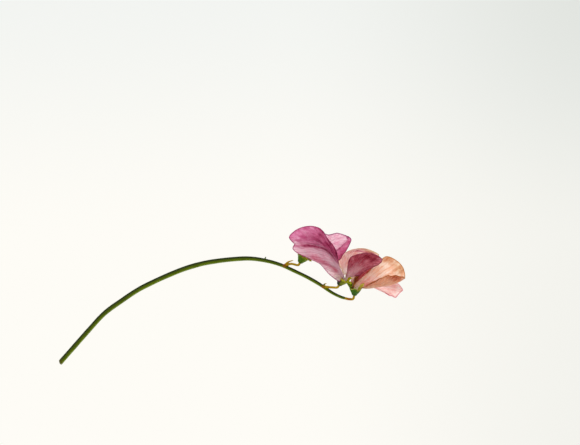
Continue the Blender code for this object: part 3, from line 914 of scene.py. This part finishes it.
def crease_blade(obj: bpy.types.Object, seed: int) -> None:
    """Moves a sheet's points along its normals into fine creases and soft puckers.

    Args:
        obj: The flat sheet.
        seed: Where in the noise this blade lies.
    """
    mesh = obj.data
    grid = [None] * len(mesh.vertices)
    layer = mesh.uv_layers[0].data
    for loop in mesh.loops:
        grid[loop.vertex_index] = layer[loop.index].uv.copy()
    moves = []
    for vertex, (across, out) in zip(mesh.vertices, grid):
        open_part = min(max((out - 0.25) / 0.35, 0.0), 1.0)
        along = Vector((across * CREASE_FLOW[0], out * CREASE_FLOW[1], seed * 3.7))
        cloud = vertex.co / MM * PUCKER_PITCH + Vector((0.0, 0.0, seed * 5.1))
        height = noise.noise(along) * CREASE + noise.noise(cloud) * PUCKER
        moves.append(vertex.normal * height * open_part * MM)
    for vertex, move in zip(mesh.vertices, moves):
        vertex.co += move
        vertex.co.z = max(vertex.co.z, BLADE / 2 * MM)


def mark_edge(obj: bpy.types.Object, edge: list[Vector], thin: float) -> None:
    """Stores each vertex's distance to a free edge, and thins the wall towards it.

    Args:
        obj: The sheet.
        edge: The edge's points, in millimetres.
        thin: How far in from the edge the wall has its whole thickness.
    """
    edge = np.array([place(p) for p in edge]) / MM
    points = np.array([vertex.co for vertex in obj.data.vertices]) / MM
    away = np.array([np.sqrt(((edge - point) ** 2).sum(1).min()) for point in points])
    layer = obj.data.attributes.new("margin", "FLOAT", "POINT")
    layer.data.foreach_set("value", away.astype(np.float32))
    group = obj.vertex_groups.new(name="thin")
    for index, distance in enumerate(away):
        group.add([index], min(float(distance) / thin, 1.0), "REPLACE")


def mark_margin(obj: bpy.types.Object, rows: list[list[Vector]]) -> None:
    """Marks a petal's margin, which starts past its claw."""
    open_rows = rows[CLAW_ROWS + 2:]
    edge = [row[0] for row in open_rows] + rows[-1] + [row[-1] for row in open_rows]
    mark_edge(obj, edge, MARGIN_BAND)


@dataclass
class Calyx:
    """A flower's green cup, whose rim runs out into five teeth."""

    flower: Flower
    cup_rows: int = 12
    tooth_rows: int = 9
    per_tooth: int = 14
    teeth: int = 5
    ribs: int = 10
    rib_depth: float = 0.035  # a share of the radius
    tooth_fullness: float = 0.62  # below 1 a tooth's sides bulge
    tooth_turn: float = 1.6  # how soon a tooth shows its face to the top
    tooth_narrowing: float = 0.35

    def rows(self) -> list[list[Vector]]:
        """The calyx's rings of points, from the stalk out to the teeth's tips.

        Returns:
            The rings, in millimetres.
        """
        axis, up, across = self.flower.axes()
        base = Vector(self.flower.bloom.base)
        radius = CUP_RADIUS - SOLID_BLADE / 2
        profile = [(0.0, 0.0, 0.0), (CUP_FOOT, 0.06 * CUP_LENGTH, 0.0),
                   (0.46 * CUP_RADIUS, 0.3 * CUP_LENGTH, 0.0),
                   (0.7 * CUP_RADIUS, 0.64 * CUP_LENGTH, 0.0), (radius, CUP_LENGTH, 0.0)]
        count = self.teeth * self.per_tooth
        rows = []
        for spot in smooth_line(profile, self.cup_rows):
            row = []
            for column in range(count + 1):
                turn = math.tau * column / count
                rib = 1 + self.rib_depth * math.cos(self.ribs * turn) * min(spot.x / radius, 1.0)
                out = up * math.cos(turn) + across * math.sin(turn)
                row.append(base + axis * spot.y + out * spot.x * rib)
            rows.append(row)
        mouth = rows[-1]
        for step in range(1, self.tooth_rows + 1):
            rows.append([self.tooth_point(column, mouth[column], step / self.tooth_rows, radius)
                         for column in range(count + 1)])
        return rows

    def tooth_point(self, column: int, start: Vector, share: float, radius: float) -> Vector:
        """A point of a tooth.

        Args:
            column: The point's place round the rim.
            start: The rim's point there.
            share: How far out along the tooth it lies.
            radius: The mouth's radius.

        Returns:
            The point, in millimetres.
        """
        axis, up, across = self.flower.axes()
        tooth = min(column // self.per_tooth, self.teeth - 1)
        lean, sway, length = self.flower.bloom.teeth[tooth]
        turn = math.tau * (tooth + 0.5) / self.teeth
        out = up * math.cos(turn) + across * math.sin(turn)
        along = across * math.cos(turn) - up * math.sin(turn)
        aside = abs(column - self.per_tooth * (tooth + 0.5)) / (self.per_tooth / 2)
        reach = max(1 - aside, 0.0) ** self.tooth_fullness * share
        centre = Vector(self.flower.bloom.base) + axis * CUP_LENGTH + out * radius
        tilt = math.radians(lean) * (0.5 + 0.5 * reach)
        way = axis * math.cos(tilt) + out * math.sin(tilt) + along * math.tan(math.radians(sway))
        level = way.cross(Vector((0.0, 0.0, 1.0))).normalized()
        offset = start - centre
        half_width = offset.dot(along)
        level = level if level.dot(along) > 0 else -level
        offset = offset.lerp(level * half_width, min(self.tooth_turn * reach, 1.0))
        offset *= 1 - self.tooth_narrowing * reach**2
        return centre + offset + way * length * reach

    def material(self) -> bpy.types.Material:
        """A leafy green with fine ribs, painted light on one side and painted shade round the rest,
        which lets a little light through its teeth.

        Returns:
            The material.
        """
        finish = self.flower.calyx
        material, graph = new_material(f"{self.flower.name}_calyx_finish")
        round_cup, out = graph.split(graph.grid())
        mouth = self.cup_rows / (self.cup_rows + self.tooth_rows)
        # Painted light and shade: the cup and its teeth take one tone on the side that faces across
        # the flower and another round the rest.
        side = graph.math("SINE", graph.times(round_cup, math.tau))
        cup = graph.mix(graph.step(side, 0.1, 1.0), finish.cup, finish.cup_lit_side)
        teeth = graph.mix(graph.step(side, -0.4, 0.5), finish.teeth, finish.teeth_painted_side)
        colour = graph.mix(graph.step(out, mouth - 0.12, mouth + 0.1), cup, teeth)
        edge = graph.rest(graph.step(graph.mark("margin"), 0.1, 0.7))
        colour = graph.tint(colour, finish.edge, edge, 0.8)
        # Painted shade: the cup is painted darker towards its foot, on both its faces.
        foot = graph.rest(graph.step(out, 0.08, 0.4))
        colour = graph.tint(colour, finish.inside, foot, 0.6)
        ribs = graph.math("PINGPONG", graph.times(round_cup, finish.ribs), 0.5)
        ribs = graph.rest(graph.step(ribs, 0.03, 0.22))
        cloud = graph.noise(graph.spot(), 1400.0, 3.0)
        dark = graph.deepen(colour)
        colour = graph.tint(colour, dark, ribs, 0.35)
        colour = graph.tint(colour, dark, graph.step(cloud, 0.4, 0.7), 0.35)
        normal = graph.bump(graph.plus(graph.times(ribs, 0.5), cloud), 0.5, 0.0002)
        rough = graph.plus(0.42, graph.times(cloud, 0.2))
        leaf_shader(graph, colour, rough, normal, finish.see_through, finish.sheen)
        return material

    def make(self) -> bpy.types.Object:
        """Builds the calyx.

        Returns:
            The cup with its teeth.
        """
        name = f"{self.flower.name}_calyx"
        rows = self.rows()

        def shape(obj: bpy.types.Object) -> None:
            """Marks how far each point is from the teeth's margins."""
            mark_edge(obj, rows[-1], TOOTH_BAND)

        obj = sheet_object(f"{name}_cup", rows, CALYX_WALL, ring=True, shape=shape)
        obj.data.materials.append(self.material())
        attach(obj, "root")
        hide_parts(name)
        return obj


@dataclass
class Shoot:
    """A round length of stem, stalk or bract, by its line and its radii from end to end."""

    line: list[Vector]
    radii: tuple[float, ...]

    def make(self, name: str) -> bpy.types.Object:
        """Builds it as a closed tube.

        Args:
            name: The object's name.

        Returns:
            The tube as a mesh.
        """
        deselect()
        bpy.ops.curve.primitive_nurbs_path_add()
        obj = bpy.context.active_object
        obj.name = name
        curve = obj.data
        curve.splines.clear()
        curve.twist_mode = "Z_UP"
        curve.bevel_depth = MM
        curve.bevel_resolution = 6
        curve.use_fill_caps = True
        spline = curve.splines.new("POLY")
        spline.points.add(len(self.line) - 1)
        for index, (point, knot) in enumerate(zip(self.line, spline.points)):
            knot.co = (*place(point), 1.0)
            part = index / (len(self.line) - 1) * (len(self.radii) - 1)
            step = min(int(part), len(self.radii) - 2)
            here, ahead = self.radii[step:step + 2]
            knot.radius = here + (ahead - here) * (part - step)
        pick(obj)
        bpy.ops.object.convert(target="MESH")
        return bpy.context.active_object


@dataclass
class Stem:
    """The cut stem with its three flower stalks and two small bracts, grown into one piece."""

    finish: StemFinish
    name: str = "stem"
    joints: tuple[Point, ...] = ((26.9, 15.6, 5.2), (46.0, 5.2, 5.8))
    last_joint: Point = (58.6, -1.0, 4.5)
    stalk_share: float = 0.955  # of the stem's line lies before its last stalk
    joint_reach: float = 1.9
    brown_reach: float = 5.0  # of the dry end
    ridges: int = 7
    ridge_height: float = 0.035
    lumpiness: float = 0.06

    def shoots(self) -> list[Shoot]:
        """The stem's lengths.

        Returns:
            The stem itself, and then the stalks that leave it.
        """
        seats = []
        for bloom in BLOOMS:
            axis = Vector(bloom.axis).normalized()
            seats.append((Vector(bloom.base) + axis * SEAT_GAP, axis))
        line = smooth_line([*STEM_LINE, (59.3, -1.1, 4.2), (60.9, -1.0, 3.8), seats[2][0]], 260)
        radii = (*[STEM_RADIUS] * 5, STEM_RADIUS * 0.9, STEM_END_RADIUS, STEM_END_RADIUS,
                 STALK_RADIUS)
        stalks = [Shoot(line, radii)]
        bends = ((30.0, 16.5, 5.5), (50.2, 4.9, 6.9))
        for (last, axis), start, bend in zip(seats, self.joints, bends):
            path = smooth_line([start, bend, last - axis * 1.8, last], 30)
            stalks.append(Shoot(path, (0.86, 0.6, STALK_RADIUS, STALK_RADIUS, 0.66)))
        for points, radii in (
                ([(26.6, 15.6, 5.3), (28.6, 17.4, 6.0), (31.2, 18.3, 6.4)], (0.6, 0.5, 0.38, 0.18)),
                ([(46.0, 5.4, 6.0), (46.6, 6.4, 6.8), (47.6, 6.9, 7.2)], (0.55, 0.45, 0.2)),
                ([(17.0, 18.2, 4.6), (17.2, 19.2, 5.2), (17.6, 20.0, 5.4)], (0.5, 0.4, 0.2))):
            stalks.append(Shoot(smooth_line(points, 12), radii))
        return stalks

    def make(self) -> bpy.types.Object:
        """Grows the lengths together, cuts the end on a slant and gives the stem its ridges.

        Returns:
            The stem.
        """
        shoots = self.shoots()
        lengths = [shoot.make(f"shoot_{index}") for index, shoot in enumerate(shoots)]
        deselect()
        for obj in lengths:
            obj.select_set(True)
        bpy.context.view_layer.objects.active = lengths[0]
        bpy.ops.object.join()
        obj = lengths[0]
        obj.name = obj.data.name = "stem_and_stalks"
        remesh = obj.modifiers.new("Grow together", "REMESH")
        remesh.mode = "VOXEL"
        remesh.voxel_size = STEM_VOXEL * MM
        bpy.ops.object.modifier_apply(modifier="Grow together")
        soften = obj.modifiers.new("Soften", "SMOOTH")
        soften.factor = 0.5
        soften.iterations = 4
        bpy.ops.object.modifier_apply(modifier="Soften")
        self.cut_end(obj)
        self.mark(obj, shoots)
        bpy.ops.object.shade_smooth()
        obj.data.materials.clear()
        obj.data.materials.append(self.material())
        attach(obj, "root")
        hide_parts(self.name)
        return obj

    def cut_end(self, obj: bpy.types.Object) -> None:
        """Cuts the stem's end on a slant with one stroke."""
        bpy.ops.object.mode_set(mode="EDIT")
        bpy.ops.mesh.select_all(action="SELECT")
        bpy.ops.mesh.bisect(plane_co=place(Vector(STEM_LINE[0]) + Vector((0.55, 0.45, 0.0))),
                            plane_no=(0.86, 0.38, 0.34), use_fill=True, clear_inner=True)
        bpy.ops.object.mode_set(mode="OBJECT")

    def mark(self, obj: bpy.types.Object, shoots: list[Shoot]) -> None:
        """Stores what part of the stem each point is on, and raises the ridges along it.

        Args:
            obj: The stem.
            shoots: Its lengths.
        """
        line = np.array([place(p) for p in shoots[0].line]) / MM
        stalks = np.array([place(p) for shoot in shoots[1:3] for p in shoot.line[4:]]) / MM
        joints = np.array([place(p) for p in (*self.joints, self.last_joint)]) / MM
        ways = np.gradient(line, axis=0)
        ways /= np.linalg.norm(ways, axis=1)[:, None]
        sides = np.cross(ways, (0.0, 0.0, 1.0))
        sides /= np.linalg.norm(sides, axis=1)[:, None]
        ups = np.cross(sides, ways)
        stalk_part, joint_part, cut_part, ridge_part = [], [], [], []
        first_stalk_step = int(len(line) * self.stalk_share)
        for vertex in obj.data.vertices:
            point = np.array(vertex.co) / MM
            gaps = np.linalg.norm(line - point, axis=1)
            near = int(gaps.argmin())
            stalk_gap = np.linalg.norm(stalks - point, axis=1).min()
            joint_gap = np.linalg.norm(joints - point, axis=1).min()
            on_stalk = near > first_stalk_step or stalk_gap < gaps[near] - 0.2
            stalk_part.append(1.0 if on_stalk else 0.0)
            joint_part.append(max(1 - joint_gap / self.joint_reach, 0.0))
            cut_gap = np.linalg.norm(line[0] - point)
            cut_part.append(max(1 - cut_gap / self.brown_reach, 0.0))
            away = point - line[near]
            turn = math.atan2(float(away @ ups[near]), float(away @ sides[near]))
            ridge = 0.0 if on_stalk else math.cos(self.ridges * turn)
            ridge_part.append(0.5 + 0.5 * ridge)
            length = float(np.linalg.norm(away))
            if length > 0.3 and not on_stalk:
                grown = noise.noise(Vector(point) * 0.16) * self.lumpiness
                grown += ridge * self.ridge_height
                vertex.co += Vector(away / length * grown) * MM
            vertex.co.z = max(vertex.co.z, 0.0)
        for label, values in (("stalk", stalk_part), ("joint", joint_part), ("cut", cut_part),
                              ("ridge", ridge_part)):
            layer = obj.data.attributes.new(label, "FLOAT", "POINT")
            layer.data.foreach_set("value", np.array(values, np.float32))

    def material(self) -> bpy.types.Material:
        """Glossy ribbed green, painted lighter towards -Y and darker towards +Y as painted light
        and shade, golden on the stalks, red at the joints and brown at the cut.

        Returns:
            The material.
        """
        finish = self.finish
        material, graph = new_material("stem_finish")
        spot = graph.spot()
        painted_light_facing = graph.split(graph.add("ShaderNodeNewGeometry").outputs["Normal"])[1]
        cloud = graph.noise(spot, 220.0, 3.0)
        fibre = graph.noise(spot, 1900.0, 3.0)
        # Painted light and shade: the side that faces -Y is painted lighter, the side that faces +Y
        # darker.
        lit = graph.step(graph.times(painted_light_facing, -1.0), -0.4, 0.65)
        green = graph.mix(lit, finish.shaded, finish.lit)
        green = graph.tint(green, finish.cloud, graph.step(cloud, 0.35, 0.7), 0.4)
        green = graph.tint(green, finish.ridge, graph.mark("ridge"), 0.25)
        stalk = graph.mix(graph.step(cloud, 0.3, 0.7), finish.stalk, finish.stalk_pale)
        colour = graph.mix(graph.step(graph.mark("stalk"), 0.2, 0.9), green, stalk)
        colour = graph.tint(colour, finish.joint, graph.step(graph.mark("joint"), 0.1, 0.75), 0.75)
        colour = graph.tint(colour, finish.cut, graph.step(graph.mark("cut"), 0.3, 0.95), 0.8)
        rough = graph.plus(0.36, graph.times(fibre, 0.25))
        height = graph.plus(graph.times(graph.mark("ridge"), 0.6), fibre)
        leaf_shader(graph, colour, rough, graph.bump(height, 0.4, 0.0002), finish.see_through)
        return material


@dataclass
class Studio:
    """The pale lit table, the soft light above it and the camera that looks straight down."""

    half_width: float = 1.5
    drop: float = 0.05 * MM  # keeps the table's face just under the stem
    table: Colour = (254, 252, 246)
    # The next two are painted shade: dimmer tones of the glow towards +Y and towards +X.
    table_far_shade: Colour = (242, 244, 241)
    table_dull_shade: Colour = (224, 227, 222)
    air: Colour = (250, 250, 246)
    camera_height: float = 0.6847
    look_at: tuple[float, float] = (29.36, 36.37)
    lens: float = 85.0
    glow: float = 1.38
    ambient: float = 0.4
    lamp_place: Point = (-0.35, 0.45, 0.9)  # in metres, as the sizes below are
    lamp_aim: Point = (0.03, 0.0, 0.0)
    lamp_size: float = 0.7
    lamp_power: float = 2.4

    def make_table(self) -> None:
        """A flat pale table that glows evenly, a little duller to one side, where its glow is
        painted with shade towards +Y and +X.
        """
        deselect()
        bpy.ops.mesh.primitive_plane_add(size=2 * self.half_width, location=(0.0, 0.0, 0.0))
        table = bpy.context.active_object
        table.name = "table"
        for vertex in table.data.vertices:
            vertex.co.z = -self.drop
        material, graph = new_material("table_glow")
        right, up = graph.split(graph.spot())
        # Painted shade: the glow dims towards +Y, and more towards +X, most where both meet.
        up = graph.step(up, 0.02, 0.17)
        right = graph.step(right, 0.02, 0.2)
        colour = graph.mix(up, self.table, self.table_far_shade)
        dimming_shade = graph.times(graph.plus(graph.times(up, 0.6), 0.4), right)
        colour = graph.mix(dimming_shade, colour, self.table_dull_shade)
        seen = graph.add("ShaderNodeLightPath").outputs["Is Camera Ray"]
        strength = graph.add("ShaderNodeMapRange",
                             {"Value": seen, "To Min": self.glow, "To Max": 1.0}).outputs[0]
        light = graph.add("ShaderNodeEmission", {"Color": colour, "Strength": strength})
        graph.add("ShaderNodeOutputMaterial", {"Surface": light.outputs[0]})
        table.data.materials.append(material)

    def make_lights(self) -> None:
        """Pale air all round and one large soft light above."""
        world = bpy.data.worlds.new("air")
        bpy.context.scene.world = world
        world.use_nodes = True
        back = world.node_tree.nodes["Background"]
        back.inputs["Color"].default_value = srgb(self.air)
        back.inputs["Strength"].default_value = self.ambient
        bpy.ops.object.light_add(type="AREA", location=self.lamp_place)
        lamp = bpy.context.active_object
        lamp.name = "soft_light"
        lamp.data.shape = "DISK"
        lamp.data.size = self.lamp_size
        lamp.data.energy = self.lamp_power
        beam = Vector(self.lamp_aim) - lamp.location
        lamp.rotation_euler = beam.to_track_quat("-Z", "Y").to_euler()

    def make_camera(self) -> None:
        """A camera straight above."""
        x, y = (value * MM for value in self.look_at)
        bpy.ops.object.camera_add(location=(x, y, self.camera_height), rotation=(0.0, 0.0, 0.0))
        camera = bpy.context.active_object
        camera.name = "camera"
        camera.data.lens = self.lens
        camera.data.sensor_width = 36.0
        camera.data.clip_start = 0.01
        camera.data.clip_end = 20.0
        bpy.context.scene.camera = camera
        bpy.context.scene.view_settings.view_transform = "Standard"

    def make(self) -> None:
        """Sets up the table, the lights and the camera."""
        self.make_table()
        self.make_lights()
        self.make_camera()


def petal_finishes() -> dict[int, dict[Kind, PetalFinish]]:
    """The finishes of each flower's petals.

    Returns:
        A finish for each kind of petal, by the flower's number.
    """
    rose = (246, 206, 216)
    pearl = (255, 247, 243)
    first = {
        Kind.STANDARD: PetalFinish(
            "petal_mauve", (248, 216, 230), (248, 216, 230), (214, 116, 160), (132, 26, 92),
            (205, 110, 150),
            patches=(Patch(0.84, 1.0, 0.13, 0.09, (146, 34, 104), 1.0),),
            # Painted shade: where a wing lies under the standard's right half, that part is tinted
            # darker, with a darker line at its edge.
            shade_lines=(ShadeLine(0.66, 0.9, 35, (226, 140, 180), (168, 60, 116), 0.9),)),
        Kind.WING_LEFT: PetalFinish(
            "petal_mauve", rose, rose, (214, 116, 160), (176, 60, 112), (205, 110, 150)),
        Kind.WING_RIGHT: PetalFinish(
            "petal_mauve", (240, 182, 210), (236, 172, 204), (160, 36, 100), (100, 10, 70),
            (160, 60, 110),
            patches=(Patch(0.75, 0.95, 0.2, 0.12, (150, 50, 110), 0.9),)),
        Kind.KEEL: PetalFinish(
            "petal_pale", rose, rose, (214, 150, 150), (190, 90, 120), (205, 120, 150)),
    }
    second = {
        Kind.STANDARD: PetalFinish(
            "petal_mauve", (255, 242, 247), (224, 150, 188), (252, 220, 228), (150, 30, 90),
            (190, 100, 140),
            patches=(Patch(0.8, 0.5, 0.34, 0.5, (186, 80, 128), 1.0),
                     Patch(0.87, 0.8, 0.14, 0.35, (184, 84, 126), 0.9),
                     Patch(0.3, 0.8, 0.12, 0.16, (228, 150, 172), 0.8),
                     Patch(0.2, 0.62, 0.1, 0.14, (236, 170, 184), 0.7)),
            # Painted shade along the fold at the midrib: a darker line, with no tint beyond it.
            shade_lines=(ShadeLine(0.488, 0.5, 0, (224, 150, 188), (186, 50, 112), 0.0),)),
        Kind.WING_LEFT: PetalFinish(
            "petal_mauve", (248, 212, 206), (248, 212, 206), pearl, (206, 168, 120),
            (190, 100, 120),
            # The two dark red lines are painted shadow of the right wing that lies over this one.
            patches=(Patch(0.4, 0.7, 0.15, 0.035, (176, 50, 92), 1.0),
                     Patch(0.53, 0.82, 0.05, 0.13, (176, 56, 88), 1.0),
                     Patch(0.45, 0.82, 0.09, 0.06, (214, 190, 150), 0.8)),
            rim_width=1.0),
        Kind.WING_RIGHT: PetalFinish(
            "petal_mauve", (218, 142, 166), (228, 160, 182), pearl, (140, 40, 84), (150, 70, 90),
            patches=(Patch(0.5, 0.36, 0.6, 0.26, (254, 234, 244), 0.9),
                     Patch(0.36, 0.82, 0.22, 0.13, (182, 74, 106), 0.9))),
        Kind.KEEL: PetalFinish(
            "petal_pale", pearl, pearl, pearl, (210, 120, 140), (226, 160, 180), veins=0.3,
            mottle=0.3),
    }
    third = {
        Kind.STANDARD: PetalFinish(
            "petal_peach", (250, 222, 206), (252, 234, 218), (253, 240, 230), (190, 116, 50),
            (206, 150, 120),
            patches=(Patch(0.2, 0.95, 0.2, 0.1, (214, 160, 120), 0.8),
                     Patch(0.39, 0.95, 0.07, 0.14, (222, 180, 142), 0.8),
                     Patch(0.3, 0.45, 0.15, 0.2, (252, 206, 206), 0.8),
                     Patch(0.62, 0.94, 0.15, 0.12, (196, 124, 100), 0.9))),
        Kind.WING_LEFT: PetalFinish(
            "petal_peach", pearl, (214, 104, 116), (150, 110, 14), (170, 50, 60), (190, 80, 90),
            patches=(Patch(0.2, 0.4, 0.22, 0.5, (240, 214, 190), 0.8),
                     Patch(0.56, 0.36, 0.4, 0.15, (140, 76, 4), 1.0))),
        Kind.WING_RIGHT: PetalFinish(
            "petal_peach", (246, 212, 208), (244, 208, 204), pearl, (208, 104, 120),
            (220, 150, 152),
            patches=(Patch(0.5, 0.95, 0.25, 0.12, (250, 230, 226), 0.8),)),
        Kind.KEEL: PetalFinish(
            "petal_pale", (250, 226, 210), (250, 226, 210), (160, 120, 16), (190, 110, 80),
            (210, 140, 100)),
    }
    return {1: first, 2: second, 3: third}


# Each calyx: its cup, the cup's painted lit side, its teeth, their painted side, their edges, and
# the painted shade at the cup's foot.
CALYXES = {
    1: CalyxFinish((112, 160, 4), (160, 192, 14), (150, 180, 20), (190, 196, 40), (216, 206, 80),
                   (70, 116, 4)),
    2: CalyxFinish((14, 44, 4), (176, 184, 14), (226, 222, 10), (206, 210, 10), (236, 230, 50),
                   (6, 20, 4)),
    3: CalyxFinish((84, 148, 4), (104, 164, 8), (110, 160, 6), (204, 190, 8), (240, 230, 70),
                   (56, 104, 4)),
}


def main() -> None:
    """Builds the table, the flowers and the stem in order."""
    logging.basicConfig(level=logging.INFO, format="%(message)s")
    Studio().make()
    effects = Effects()
    finishes = petal_finishes()
    for number, bloom in enumerate(BLOOMS, 1):
        flower = Flower(f"bloom_{number}", bloom, CALYXES[number], finishes[number])
        for kind in Kind:
            log.info("made %s", flower.make_petal(kind, effects).name)
        log.info("made %s", Calyx(flower).make().name)
    log.info("made %s", Stem(StemFinish()).make().name)


if __name__ == "__main__":
    main()
